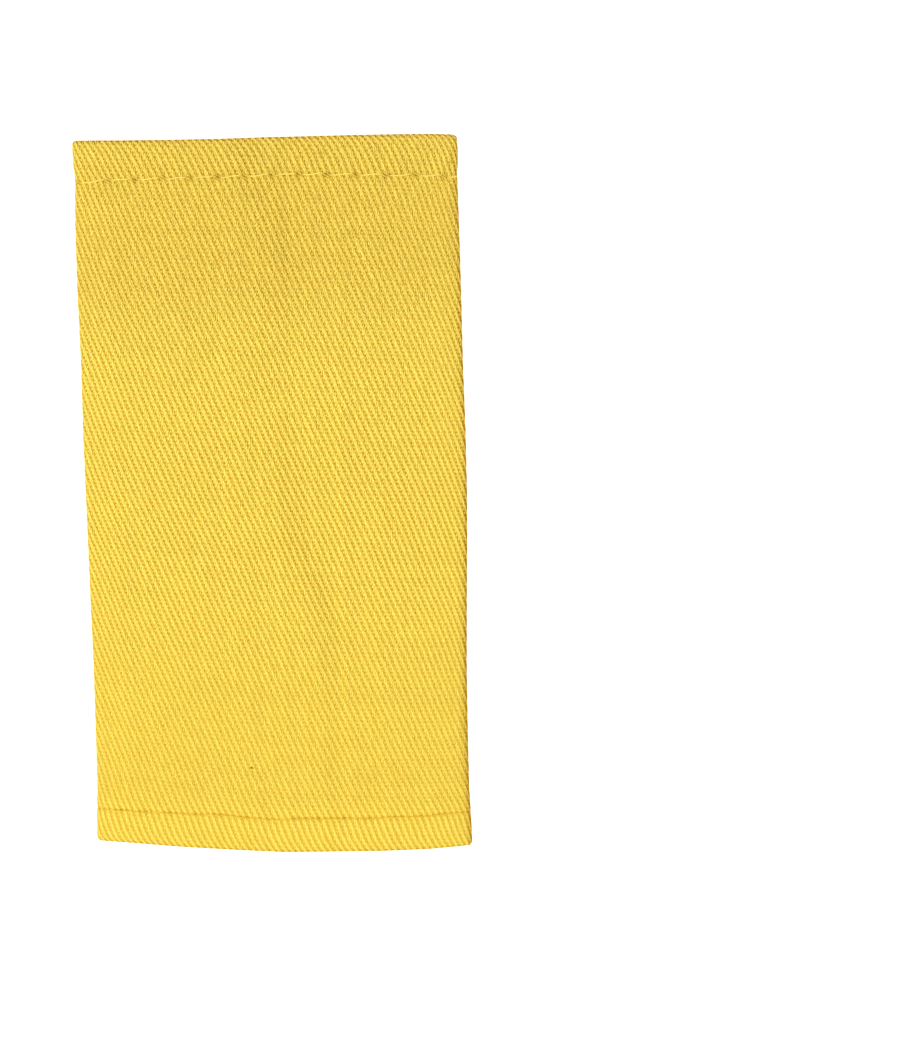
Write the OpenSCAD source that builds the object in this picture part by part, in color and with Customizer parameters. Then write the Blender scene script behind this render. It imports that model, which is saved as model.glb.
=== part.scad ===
// Slip-on shoulder board: a soft twill sleeve that slides over a shoulder strap.
// It lies on its back with the front up. +X is the width, +Y the length, +Z up.
// The origin is the middle of its outline, on the surface that it lies on.

/* [Sleeve] */
// Length from mouth to mouth, where it is longest
sleeve_l = 102.3; // [80:0.1:130]
// Width from fold to fold, where it is widest
sleeve_w = 54.8; // [44:0.1:70]
// Height between the hems, at the middle of the width
body_h = 8.2; // [7:0.1:12]
// Thickness of the cloth
cloth_t = 1; // [1:0.05:1.3]
// Radius inside the side folds
fold_r = 0.2; // [0.1:0.05:0.5]

/* [Hems] */
// Clear height for the strap between the hems, at the middle of the width
strap_gap = 4.5; // [4.2:0.1:8]
// Distance from the top mouth to its row of stitches
top_stitch = 5.6; // [4:0.1:12]
// Distance from the bottom mouth to its row of stitches
bottom_stitch = 4.5; // [4:0.1:12]
// Distance from the stitches to the raw edge of the turned ply
raw_margin = 1.4; // [1:0.1:4]
// Space between the two plies of a hem
hem_slit = 0.2; // [0.15:0.05:0.4]
// How far the stitches pull the outer ply in
stitch_dip = 0.1; // [0:0.01:0.12]
// Width of the dip along the stitches
stitch_w = 1.4; // [0.8:0.1:1.8]
// Length over which the cloth falls from a hem to the body
hem_run = 6; // [3:0.5:12]

/* [Back seam] */
// Distance of the seam from the middle of the width, to the right
seam_x = 0.7; // [-4:0.1:4]
// How far the seam is drawn in along the back
seam_dip = 0.15; // [0:0.01:0.3]
// Width of the dip along the seam
seam_w = 2; // [1:0.1:4]
// Width of the seam allowance
allowance_w = 6.5; // [4:0.1:9]
// Thickness of the seam allowance
allowance_t = 1; // [1:0.05:1.3]
// Gap round the seam allowance
allowance_gap = 0.1; // [0.1:0.05:0.3]
// Height of the ridge that the seam allowance prints on the front
ridge_h = 0.3; // [0:0.05:0.6]
// Width of the steep right flank of that ridge
ridge_flank = 1.6; // [1:0.1:4]

/* [Hidden] */

// Depth of each hem, from the mouth to its raw edge
top_hem = top_stitch + raw_margin;
bottom_hem = bottom_stitch + raw_margin;
// Thickness of a whole hem, and the radius of its turn at the mouth
hem_t = 2 * cloth_t + hem_slit;
turn_r = hem_t / 2;
// Height over the hems
hem_h = strap_gap + 2 * hem_t;
// Outer radius of the side folds at a hem and along the body
hem_fold = hem_t + fold_r;
body_fold = cloth_t + fold_r;

// Shape of the cross-section: how flat the front and the back are, and the back's part of the bulge
crown_power = 4;
belly_power = 8;
belly_share = 0.35;

// Numbers of steps round the section and along the sleeve
front_steps = 28;
back_steps = 20;
fold_steps = 4;
turn_steps = 6;
body_steps = 12;
run_steps = 2;
strip_steps = 24;
// How closely the steps crowd at the ridge, the seam and the folds
crowding = 0.75;

// Side folds, as shares of the width inward from the widest place:
// [share of the length from the bottom, left fold, right fold]
side_folds = [
    [0.00, 0.013, 0.012],
    [0.05, 0.017, 0.016],
    [0.25, 0.016, 0.014],
    [0.40, 0.013, 0.007],
    [0.50, 0.010, 0.000],
    [0.65, 0.007, 0.001],
    [0.80, 0.002, 0.000],
    [0.94, 0.005, 0.002],
    [1.00, 0.000, 0.002]
];

// Mouths, as shares of the length inward from the longest place:
// [share of the width from the left, top mouth, bottom mouth]
mouths = [
    [0.000, 0.000, 0.026],
    [0.125, 0.0015, 0.020],
    [0.250, 0.002, 0.014],
    [0.375, 0.0025, 0.008],
    [0.500, 0.003, 0.003],
    [0.625, 0.003, 0.001],
    [0.750, 0.003, 0.000],
    [0.875, 0.0035, 0.001],
    [1.000, 0.007, 0.004]
];

// Ridge on the front, which is the right edge of the seam allowance:
// [share of the length from the bottom, share of the width right of the middle, share of ridge_h]
ridge = [
    [0.00, 0.124, 0.3],
    [0.22, 0.128, 0.4],
    [0.30, 0.126, 0.9],
    [0.36, 0.100, 1.0],
    [0.41, 0.060, 1.0],
    [0.47, 0.036, 0.9],
    [0.54, 0.020, 0.6],
    [0.69, 0.008, 0.4],
    [0.79, 0.016, 0.8],
    [0.86, 0.022, 1.0],
    [1.00, 0.008, 1.0]
];

function column(table, i) = [for (row = table) [row[0], row[i]]];
function mix(a, b, m) = a + (b - a) * m;
function ease(m) = let (c = max(0, min(1, m))) c * c * (3 - 2 * c);

// Places of the folds, mouths, ridge and seam allowance
left_folds = column(side_folds, 1);
right_folds = column(side_folds, 2);
top_mouths = column(mouths, 1);
bottom_mouths = column(mouths, 2);
ridge_path = column(ridge, 1);
ridge_rise = column(ridge, 2);
function left_x(v) = sleeve_w * (lookup(v, left_folds) - 0.5);
function right_x(v) = sleeve_w * (0.5 - lookup(v, right_folds));
function across(x) = x / sleeve_w + 0.5;
function top_y(x) = sleeve_l * (0.5 - lookup(across(x), top_mouths));
function bottom_y(x) = sleeve_l * (lookup(across(x), bottom_mouths) - 0.5);
function ridge_x(v) = sleeve_w * lookup(v, ridge_path);

// Share of the way from the body (0) to a hem (1) at a height v along the sleeve
function hemness(v) =
    let (from_top = (1 - v) * sleeve_l - top_hem, from_bottom = v * sleeve_l - bottom_hem)
    1 - ease(min(from_top, from_bottom) / hem_run);

// Dips and ridge, as heights added to the cloth
function ridge_lift(x, v) =
    let (past = x - ridge_x(v), run = past < 0 ? allowance_w : ridge_flank)
    ridge_h * lookup(v, ridge_rise) * ease(1 - abs(past) / run);
function seam_lift(x) = seam_dip * ease(1 - abs(x - seam_x) / (seam_w / 2));

// Stations round the section: [which part, place along it]
// The front runs left to right and the back right to left, with a fold after each.
function crowded(u) = u - crowding * sin(360 * u) / (2 * PI);
front_part = 0;
right_part = 1;
back_part = 2;
left_part = 3;
stations = concat(
    [for (i = [0:front_steps]) [front_part, crowded(2 * i / front_steps - 1)]],
    [for (i = [1:fold_steps - 1]) [right_part, i / fold_steps]],
    [for (i = [0:back_steps]) [back_part, crowded(1 - 2 * i / back_steps)]],
    [for (i = [1:fold_steps - 1]) [left_part, i / fold_steps]]
);

// Directions, as angles from +X, in which the front and the back leave a fold
function front_angle(t, a, c) =
    90 - atan((1 - belly_share) * c * crown_power * sign(t) * pow(abs(t), crown_power - 1) / a);
function back_angle(t, a, c) =
    atan(belly_share * c * belly_power * sign(t) * pow(abs(t), belly_power - 1) / a) - 90;

// One point of a section: station s, height v along the sleeve and depth d in from the outer skin.
// The space inside is a pointed lens, and each skin is that lens grown by an even margin.
function section_point(s, v, d) =
    let (
        h = hemness(v),
        fold = mix(body_fold, hem_fold, h),
        c = mix(body_h, hem_h, h) - 2 * fold,
        a = (right_x(v) - left_x(v)) / 2 - fold,
        middle = (right_x(v) + left_x(v)) / 2,
        part = s[0],
        line = part == front_part ? ridge_x(v) : seam_x,
        t = part == right_part ? 1 : part == left_part ? -1
            : s[1] + (line - middle) / a * (1 - s[1] * s[1]),
        front_z = (1 - belly_share) * c * (1 - pow(abs(t), crown_power)),
        back_z = -belly_share * c * (1 - pow(abs(t), belly_power)),
        angle = part == front_part ? front_angle(t, a, c)
            : part == back_part ? back_angle(t, a, c)
            : part == right_part ? mix(front_angle(1, a, c), back_angle(1, a, c), s[1])
            : mix(back_angle(-1, a, c), front_angle(-1, a, c) - 360, s[1]),
        x = middle + t * a + (fold - d) * cos(angle),
        z = fold + belly_share * c + (part == front_part ? front_z : part == back_part ? back_z : 0)
            + (fold - d) * sin(angle),
        lift = part == front_part ? ridge_lift(x, v) : part == back_part ? seam_lift(x) : 0
    )
    [x, z + lift];

// The cut through the wall, followed round once: [share from bottom to top, distance in from
// the bottom mouth, distance in from the top mouth, depth]
function bottom_row(s, d) = [0, s, 0, d];
function top_row(s, d) = [1, 0, s, d];
bottom_turn = [for (i = [turn_steps:-1:0])
    let (a = 180 * i / turn_steps)
    bottom_row(turn_r * (1 - sin(a)), turn_r * (1 - cos(a)))];
top_turn = [for (i = [0:turn_steps])
    let (a = 180 * i / turn_steps)
    top_row(turn_r * (1 - sin(a)), turn_r * (1 - cos(a)))];
// One skin from bottom to top, at depth d, with its dips at the stitches
function skin(d) = concat(
    [for (i = [-1:1]) bottom_row(bottom_stitch + i * stitch_w / 2, d + (i == 0 ? stitch_dip : 0))],
    [for (i = [0:run_steps]) bottom_row(bottom_hem + i * hem_run / run_steps, d)],
    [for (i = [1:body_steps - 1]) [i / body_steps, bottom_hem + hem_run, top_hem + hem_run, d]],
    [for (i = [run_steps:-1:0]) top_row(top_hem + i * hem_run / run_steps, d)],
    [for (i = [1:-1:-1]) top_row(top_stitch + i * stitch_w / 2, d + (i == 0 ? stitch_dip : 0))]
);
function backwards(rows) = [for (i = [len(rows) - 1:-1:0]) rows[i]];
wall_rows = concat(
    bottom_turn,
    skin(0),
    top_turn,
    [top_row(top_hem, hem_t), top_row(top_hem, cloth_t + hem_slit)],
    [top_row(turn_r, cloth_t + hem_slit), top_row(turn_r, cloth_t)],
    backwards(skin(cloth_t)),
    [bottom_row(turn_r, cloth_t), bottom_row(turn_r, cloth_t + hem_slit)],
    [bottom_row(bottom_hem, cloth_t + hem_slit), bottom_row(bottom_hem, hem_t)]
);

function row_y(row, x) = mix(bottom_y(x) + row[1], top_y(x) - row[2], row[0]);
function row_v(row) = mix(row[1], sleeve_l - row[2], row[0]) / sleeve_l;
function wall_point(s, row) =
    let (outer = section_point(s, row_v(row), 0), p = section_point(s, row_v(row), row[3]))
    [p[0], row_y(row, outer[0]), p[1]];

// One cloth: front, back, two side folds, and both mouths turned in and stitched down
module sleeve() {
    n = len(wall_rows);
    m = len(stations);
    points = [for (s = stations) for (row = wall_rows) wall_point(s, row)];
    faces = [for (i = [0:m - 1]) for (j = [0:n - 1])
        let (
            i2 = (i + 1) % m,
            j2 = (j + 1) % n,
            a = i * n + j,
            b = i * n + j2,
            c = i2 * n + j2,
            e = i2 * n + j
        )
        each [[a, b, c], [a, c, e]]];
    color("#EECD4F") polyhedron(points = points, faces = faces);
}

// Overlocked edge of the seam, lying inside on the back: to the left of the seam above and to
// its right below, so that its right edge is what prints through the front
module seam_allowance() {
    floor_z = cloth_t + seam_dip + allowance_gap;
    right = [for (i = [0:strip_steps]) strip_point(i / strip_steps, 0)];
    left = [for (i = [strip_steps:-1:0]) strip_point(i / strip_steps, allowance_w)];
    color("#E9C448") translate([0, 0, floor_z]) linear_extrude(height = allowance_t)
        polygon(concat(right, left));
}

// A point of the strip's outline, m of the way up it and inset to the left of its right edge
function strip_point(m, inset) =
    let (
        low = bottom_hem + allowance_gap,
        high = top_hem + allowance_gap,
        v = mix(low, sleeve_l - high, m) / sleeve_l,
        x = ridge_x(v) - inset
    )
    [x, mix(bottom_y(x) + low, top_y(x) - high, m)];

sleeve();
seam_allowance();
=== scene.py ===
"""Looks of the slip-on shoulder board: a twill sleeve lying on its back, seen from straight above.

Lengths are in millimetres until a mesh is made. X is the width, Y the length, Z up.
"""

import math
from types import SimpleNamespace

import bpy
import numpy as np
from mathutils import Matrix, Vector


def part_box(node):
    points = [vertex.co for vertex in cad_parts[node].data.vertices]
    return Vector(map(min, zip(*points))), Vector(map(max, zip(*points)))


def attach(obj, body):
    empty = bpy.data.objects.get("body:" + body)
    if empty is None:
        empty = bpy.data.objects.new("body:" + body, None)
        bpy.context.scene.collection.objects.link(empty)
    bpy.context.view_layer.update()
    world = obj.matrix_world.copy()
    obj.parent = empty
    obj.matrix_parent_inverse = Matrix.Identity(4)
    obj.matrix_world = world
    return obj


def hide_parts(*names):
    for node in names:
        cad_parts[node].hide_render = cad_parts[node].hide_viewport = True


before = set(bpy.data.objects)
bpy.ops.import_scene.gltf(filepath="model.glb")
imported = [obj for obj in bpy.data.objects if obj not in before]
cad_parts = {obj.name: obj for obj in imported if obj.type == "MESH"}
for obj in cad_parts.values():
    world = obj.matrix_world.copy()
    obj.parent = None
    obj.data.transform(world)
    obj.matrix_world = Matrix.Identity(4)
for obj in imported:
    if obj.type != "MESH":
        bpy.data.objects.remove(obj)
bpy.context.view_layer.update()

MM = 0.001
rng = np.random.default_rng(7)

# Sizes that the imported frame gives
sleeve_low, sleeve_high = (np.array(corner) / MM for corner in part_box("sleeve"))
WIDTH = sleeve_high[0] - sleeve_low[0]
LENGTH = sleeve_high[1] - sleeve_low[1]

# Heights over the hems and over the body, under the ridge that stands highest
RIDGE_H = 0.3
HEM_RISE = 0.7
HEM_H = sleeve_high[2] - RIDGE_H
BODY_H = HEM_H - HEM_RISE

# Cloth, as thin as the real drill, a hem of two plies with a slit between them, and its turn at the mouth
CLOTH = 0.62
SLIT = 0.1
HEM_T = 2 * CLOTH + SLIT
TURN_R = HEM_T / 2
BETWEEN_PLIES = CLOTH + SLIT / 2

# Outer radius of a side fold over the body and over a hem, and X where the front starts to turn down into it
BODY_FOLD = CLOTH + 0.25
HEM_FOLD = HEM_T + 0.2
SIDE_X = 26

# Raw edge of a hem behind its row of stitches, and the length over which the body rises to a hem
RAW_MARGIN = 1.4
HEM_RUN = 6

# Seam of the back, its allowance inside, and the share of the length where the allowance changes sides
SEAM_X = 0.7
ALLOWANCE_W = 6.5
CHANGE_V = 0.38

# Shape of the section
CROWN_POWER, BELLY_POWER, BELLY_SHARE = 4, 8, 0.35
FACE_STEPS, FOLD_STEPS = 500, 40

# Twill: pitch of the warp yarns and of the weft yarns, and how far the wefts lean
WARP_PITCH, WEFT_PITCH = 0.232, 0.54
WEFT_TILT = -math.tan(math.radians(2.8))
WARPS_PER_RIB = 4
RIB_PITCH = WARPS_PER_RIB * WARP_PITCH
RIB_SLOPE = WARP_PITCH / WEFT_PITCH

# Side folds, as shares of the width inward: share of the length, left fold, right fold
SIDE_FOLDS = np.array([
    [0.00, 0.0130, 0.0125],
    [0.04, 0.0150, 0.0142],
    [0.075, 0.0176, 0.0166],
    [0.15, 0.0172, 0.0160],
    [0.25, 0.0165, 0.0138],
    [0.35, 0.0132, 0.0080],
    [0.43, 0.0112, 0.0026],
    [0.50, 0.0092, -0.0004],
    [0.58, 0.0070, -0.0012],
    [0.68, 0.0070, 0.0004],
    [0.78, 0.0030, -0.0004],
    [0.88, 0.0024, 0.0002],
    [0.93, 0.0050, 0.0010],
    [0.945, 0.0062, 0.0016],
    [0.97, 0.0020, -0.0022],
    [1.00, 0.0000, -0.0008],
])

# Mouths, as shares of the length inward: share of the width, top mouth, bottom mouth
MOUTHS = np.array([
    [0.000, 0.0006, 0.0264],
    [0.060, 0.0018, 0.0236],
    [0.125, 0.0032, 0.0205],
    [0.250, 0.0047, 0.0138],
    [0.375, 0.0054, 0.0083],
    [0.500, 0.0052, 0.0032],
    [0.625, 0.0054, 0.0020],
    [0.750, 0.0056, 0.0008],
    [0.875, 0.0060, 0.0012],
    [0.950, 0.0064, 0.0030],
    [1.000, 0.0075, 0.0044],
])

# Rows of stitches, as distances beyond the usual ones: share of the width, top row, bottom row
STITCH_ROWS = np.array([
    [0.00, 0.50, -0.02],
    [0.06, 0.22, 0.07],
    [0.11, -0.04, 0.14],
    [0.25, -0.12, 0.33],
    [0.33, -0.18, 0.38],
    [0.45, -0.22, 0.15],
    [0.53, -0.22, 0.25],
    [0.66, -0.15, 0.28],
    [0.80, 0.15, 0.32],
    [1.00, 0.45, 0.25],
])

# Ridge of the front: share of the length, share of the width right of the middle, share of its height
RIDGE = np.array([
    [0.00, 0.124, 0.25],
    [0.22, 0.128, 0.30],
    [0.30, 0.126, 0.90],
    [0.36, 0.100, 1.00],
    [0.41, 0.060, 1.00],
    [0.47, 0.036, 0.90],
    [0.54, 0.020, 0.60],
    [0.62, 0.010, 0.30],
    [0.69, 0.008, 0.30],
    [0.79, 0.016, 0.75],
    [0.86, 0.022, 1.00],
    [1.00, 0.008, 1.10],
])

# Look of the weave: share of the length, then shares of the usual contrast, pits and fuzz, and how much paler
LOOK = np.array([
    [0.05, 0.92, 0.45, 0.28, -0.04],
    [0.07, 0.62, 0.80, 0.48, -0.05],
    [0.13, 0.61, 0.85, 0.53, -0.05],
    [0.22, 0.66, 0.90, 0.58, -0.05],
    [0.40, 0.87, 1.02, 0.72, -0.03],
    [0.60, 0.91, 1.04, 0.82, -0.02],
    [0.80, 1.02, 0.97, 1.15, 0.03],
    [0.93, 1.06, 0.92, 1.15, 0.03],
    [0.95, 1.50, 0.72, 1.20, 0.06],
])

# How steeply the ribs cross the cloth: distance along the cloth from the mouth, slope
TOP_SLOPES = np.array([
    [-8.0, 0.43],
    [-1.0, 0.45],
    [0.3, 0.85],
    [1.4, 0.50],
    [3.0, 0.40],
    [5.2, 0.43],
    [9.0, 0.41],
])
BOTTOM_SLOPES = np.array([
    [-8.0, 0.43],
    [-1.0, 0.50],
    [0.3, 0.70],
    [1.2, 0.54],
    [2.4, 0.36],
    [4.3, 0.34],
    [4.9, 0.50],
    [8.0, 0.45],
])

# The two ends. column is an end's place in MOUTHS and STITCH_ROWS, and stitch is how far its row of stitches
# is from the mouth. Needle holes are given by the X of the one on the left fold and of the next, by their
# pitch, and by the X from which later_pitch takes over. A groove runs along the row, with puffs beside it.
# rim is the painted shade on the mouth's edge, and the crease and mark entries are the strengths of the
# painted shade along the row and of the marks at the holes. A stitch has a thread radius, a slant, a crown
# over the cloth and ends sunk into it.
# Some loose fibres of a given radius stand at each hole.
TOP = SimpleNamespace(
    end=1, side=1, column=1, stitch=5.6, slopes=TOP_SLOPES,
    fold_hole=-26.65, first_hole=-22.3, pitch=3.88, later_x=8.74, later_pitch=4.20,
    groove=0.09, groove_half=0.32, puff=0.05, rim=0.95, crease_shade=0.25, mark=1.0,
    thread_r=0.098, slant=0.26, crown=0.03, sunk=0.28, fibres=3, fibre_r=0.040,
)
BOTTOM = SimpleNamespace(
    end=0, side=-1, column=2, stitch=4.5, slopes=BOTTOM_SLOPES,
    fold_hole=-26.25, first_hole=-23.1, pitch=3.54, later_x=0, later_pitch=3.54,
    groove=0.12, groove_half=0.28, puff=0.08, rim=0.60, crease_shade=0.85, mark=0.30,
    thread_r=0.09, slant=0.12, crown=-0.20, sunk=0.35, fibres=1, fibre_r=0.03,
)
for hem in (TOP, BOTTOM):
    hem.depth = hem.stitch + RAW_MARGIN

# A pit of the weave, in warps across and wefts along, how far it strays, and by how much its strength varies
PIT_WIDTH, PIT_LENGTH = 0.96, 0.29
STRAY_ACROSS, STRAY_ALONG, PIT_VARIES = 0.12, 0.05, 0.14

# Heights and depths in the weave, as shares of the ramp from pit colour to crest colour. The darker end of
# the ramp is partly the weft's own deeper colour and partly painted shade in the weave's hollows
MIDDLE_H = 0.645
FURROW_DEPTH, SHADED_FOOT_DEPTH, PIT_DEPTH = 0.205, 0.17, 0.60

# Means of these depths: a furrow fills about 0.55 of a rib, its foot about 0.137, and a pit its bell's area
FURROW_MEAN = 0.55 * FURROW_DEPTH + 0.137 * SHADED_FOOT_DEPTH
PIT_MEAN = math.pi * PIT_WIDTH * PIT_LENGTH / WARPS_PER_RIB

# Where the crest and the furrow's foot, with its painted shade, are in a rib's width, and how far the crest
# follows the steps of its warps instead of a smooth line
CREST_AT, SHADED_FOOT_AT = 0.75, 0.11
STEPS = 0.8

# Fuzz of the fibres: how many there are, how far aside their shade falls, and its strength
FIBRES_PER_WARP, FIBRES_PER_WEFT, FIBRE_ASIDE = 1.55, 1.75, 0.9
FUZZ = 1.95

# By how much the warps, the wefts and the mottling vary in tone, and the floats in height
WARP_TONE, WEFT_TONE, MOTTLE, FLOAT_VARIES = 0.03, 0.015, 0.02, 0.03

# By how much the finest grain varies the colour, and the raggedness of creases and specks
GRAIN, RAGGED_CREASE, RAGGED_SPECK = 0.30, 0.12, 0.1

# Relief of one rib over its four warps: crest, right shoulder, trough, left shoulder
RIB_RELIEF = 0.026 * np.array([1.0, 0.15, -1.0, 0.15])

# Marks at the rows of stitches: half width of the crease's painted shade and how far it follows the ribs,
# then the reach of the needle holes and the pitch of their strokes, dark ones of painted shade and light ones
# of pulled yarn
CREASE_HALF, CREASE_WAVE = 0.12, 0.06
HOLE_REACH, STROKE_PITCH = 0.46, 0.44

# What painted shade (with some real wear at the ridge), the brown specks and the painted shade of a stitch
# crease leave of the cloth's own colour, and the colour of pulled yarn at a needle hole
SHADE_AND_WEAR = (0.48, 0.32, 0.03)
SPECK = (0.22, 0.12, 0.08)
CREASE_SHADE = (0.80, 0.60, 0.20)
PULLED = (0.93, 0.77, 0.13)

# Brown specks on the front: X, Y, radius, strength, and how little their distance counts in height
SPECKS = [
    (-4.30, -38.70, 0.20, 0.9),
    (-4.05, -38.78, 0.12, 0.8),
    (-8.40, -41.56, 0.14, 0.5),
]
SPECK_TALL = 0.2

# Run of the ridge's fall on the right, run of the undulation's end at a side fold, and its share on the back
RIDGE_FALL, FADE_RUN, BACK_SHARE = 1.5, 6, 0.25

# Seam: height and half width of its ridge, depth, half width and distance of the hollows beside it, and how
# much of them shows in a hem's turn and slit
SEAM_RIDGE, SEAM_HALF = 0.28, 0.42
SEAM_HOLLOW, HOLLOW_HALF, HOLLOW_OFF = 0.1, 0.8, 1.4
SEAM_IN_TURN = 0.3

# Lump over the allowance in a hem: height, start and run of its fall at the edge and of its rise at the mouth
LUMP_H, LUMP_INSIDE, LUMP_FALL, LUMP_FROM, LUMP_RISE = 1.15, 0.6, 1.6, 1.5, 2.5

# Pit at a needle hole: depth, half sizes. Puff beside a row: distance, half width, run of its rise
HOLE_DEPTH, HOLE_LONG, HOLE_WIDE = 0.12, 0.34, 0.30
PUFF_OFF, PUFF_HALF, PUFF_RISE = 1.2, 0.7, 2

# What a side fold takes of a groove, and how far inside SIDE_X that starts and its run
FOLD_TAKES, FOLD_INSIDE, FOLD_RUN = 0.75, 1.2, 1.4

# How much deeper stitches lie on the back, and on a side fold
BACK_SUNK, FOLD_SUNK = 0.12, 0.08

# Darkening at the ridge, partly real wear and partly painted shade: strength, half widths left and right, how
# far left it lies, and how it moves at the top
WEAR_AND_SHADE, WEAR_AND_SHADE_LEFT, WEAR_AND_SHADE_RIGHT, WEAR_AND_SHADE_ASIDE = 0.11, 2.0, 2.6, 0.2
WEAR_AND_SHADE_TOP, WEAR_AND_SHADE_FROM, WEAR_AND_SHADE_RUN = 3.0, 0.86, 0.1

# Narrow and wide painted shade on the right fold, each with its half width, and half width of the painted
# shade on a rim
NARROW_SHADE, NARROW_HALF = 0.80, 0.35
WIDE_SHADE, WIDE_HALF = 0.34, 1.0
RIM_HALF = 0.26

# Rows of the mesh: spacing in the body, near a mouth and along the stitches, reach of the last, start of the
# body's rows beyond the stitches, and how many inner rows the body has
BODY_STEP, NEAR_STEP, SEWN_STEP = 1.1, 0.5, 0.2
SEWN_REACH, BODY_FROM, INNER_ROWS = 1.1, 1.5, 32

# A place off and along a row of stitches that is far from any of them
FAR = 9.0


def lookup(table, key, value_column):
    """A table's value at a key, in straight lines from row to row."""
    return np.interp(key, table[:, 0], table[:, value_column])


def ease(m):
    m = np.clip(m, 0, 1)
    return m * m * (3 - 2 * m)


def mix(a, b, m):
    return a + (b - a) * m


def bell(distance, half):
    return np.exp(-(distance / half) ** 2)


def spaced(first, last, step):
    """Even places from first to last, about a step apart."""
    return np.linspace(first, last, max(2, round(abs(last - first) / step) + 1))


# Outline of the sleeve


def left_x(v):
    return WIDTH * (lookup(SIDE_FOLDS, v, 1) - 0.5)


def right_x(v):
    return WIDTH * (0.5 - lookup(SIDE_FOLDS, v, 2))


def mouth_y(hem, x):
    return hem.side * LENGTH * (0.5 - lookup(MOUTHS, x / WIDTH + 0.5, hem.column))


def stitch_inset(hem, x):
    return hem.stitch + lookup(STITCH_ROWS, x / WIDTH + 0.5, hem.column)


def stitch_v(hem):
    return 1 - hem.stitch / LENGTH if hem is TOP else hem.stitch / LENGTH


def ridge_x(v):
    return WIDTH * lookup(RIDGE, v, 1)


def allowance_x(v):
    """Middle of the seam allowance, whose right edge lies under the ridge."""
    return ridge_x(v) - ALLOWANCE_W / 2


def hemness(v):
    """1 over the hems, 0 over the body."""
    from_top = (1 - v) * LENGTH - TOP.depth
    from_bottom = v * LENGTH - BOTTOM.depth
    return 1 - ease(np.minimum(from_top, from_bottom) / HEM_RUN)


class Section:
    """The closed curve round the sleeve at one height, measured along its outer skin.

    It starts at the seam, runs left along the back, right along the front and back to the seam.
    """

    def __init__(self, v):
        h = hemness(v)
        self.fold = mix(BODY_FOLD, HEM_FOLD, h)
        clear = mix(BODY_H, HEM_H, h) - 2 * self.fold
        a = (right_x(v) - left_x(v)) / 2 - self.fold
        middle = (right_x(v) + left_x(v)) / 2
        seam = (SEAM_X - middle) / a

        def face(t, up, height, power):
            """X, Z and outward angle at shares t of half the width. up is 1 in front and -1 at the back."""
            slope = height * power * np.sign(t) * np.abs(t) ** (power - 1) / a
            return t * a, up * height * (1 - np.abs(t) ** power), up * (np.pi / 2 - np.arctan(slope))

        def back(t):
            return face(t, -1, BELLY_SHARE * clear, BELLY_POWER)

        def front(t):
            return face(t, 1, (1 - BELLY_SHARE) * clear, CROWN_POWER)

        def fold(side, first, last):
            return np.full(FOLD_STEPS, side * a), np.zeros(FOLD_STEPS), np.linspace(first, last, FOLD_STEPS)

        edge = np.ones(1)
        back_end, front_end = back(edge)[2][0], front(edge)[2][0]
        parts = [
            back(np.linspace(seam, -1, FACE_STEPS)),
            fold(-1, -np.pi - back_end, -np.pi - front_end),
            front(np.linspace(-1, 1, 2 * FACE_STEPS)),
            fold(1, front_end, back_end),
            back(np.linspace(1, seam, FACE_STEPS)),
        ]
        x, z, angle = (np.concatenate(column) for column in zip(*parts))
        self.base = np.stack([middle + x, z + self.fold + BELLY_SHARE * clear], 1)
        self.out = np.stack([np.cos(angle), np.sin(angle)], 1)
        outer = self.base + self.fold * self.out
        run = np.concatenate([[0], np.cumsum(np.hypot(*np.diff(outer, axis=0).T))])
        self.perimeter = run[-1]
        self.share = run / run[-1]

    def at(self, share):
        """Base points, outward directions and X of the outer skin at shares of the way round."""
        share = np.mod(share, 1)
        base = np.stack([np.interp(share, self.share, self.base[:, i]) for i in (0, 1)], 1)
        out = np.stack([np.interp(share, self.share, self.out[:, i]) for i in (0, 1)], 1)
        out = out / np.linalg.norm(out, axis=1, keepdims=True)
        return base, out, base[:, 0] + self.fold * out[:, 0]


RIBS = round(Section(0.5).perimeter / RIB_PITCH)
COLUMNS = RIBS * WARPS_PER_RIB
ROUND = COLUMNS * WARP_PITCH


# How the ribs lean


def slope_at(path):
    """Slope of the ribs at a distance along the cloth from the bottom mouth."""
    from_bottom = lookup(BOTTOM.slopes, path, 1)
    from_top = lookup(TOP.slopes, LENGTH - path, 1)
    return np.where(path < LENGTH / 2, from_bottom, from_top)


LONG_PATH = np.linspace(-12, LENGTH + 12, 4000)
LONG_SLOPES = slope_at(LONG_PATH)
LEAN = np.concatenate([[0], np.cumsum(np.diff(LONG_PATH) * (LONG_SLOPES[1:] + LONG_SLOPES[:-1]) / 2)])


def lean(path):
    """How far the ribs have leaned to the left at a distance along the cloth."""
    return np.interp(path, LONG_PATH, LEAN)


def waves(count, shortest, longest, height):
    """A smooth random surface over two lengths, as a sum of plane waves."""
    angle = rng.uniform(0, 2 * np.pi, count)
    size = rng.uniform(shortest, longest, count)
    kx, ky = 2 * np.pi * np.cos(angle) / size, 2 * np.pi * np.sin(angle) / size
    phase = rng.uniform(0, 2 * np.pi, count)
    return lambda a, b: height / math.sqrt(count) * sum(
        np.sin(kx[i] * a + ky[i] * b + phase[i]) for i in range(count))


wander = waves(10, 9, 30, 0.06)
undulation = waves(12, 14, 45, 0.07)


# Needle holes


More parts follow.
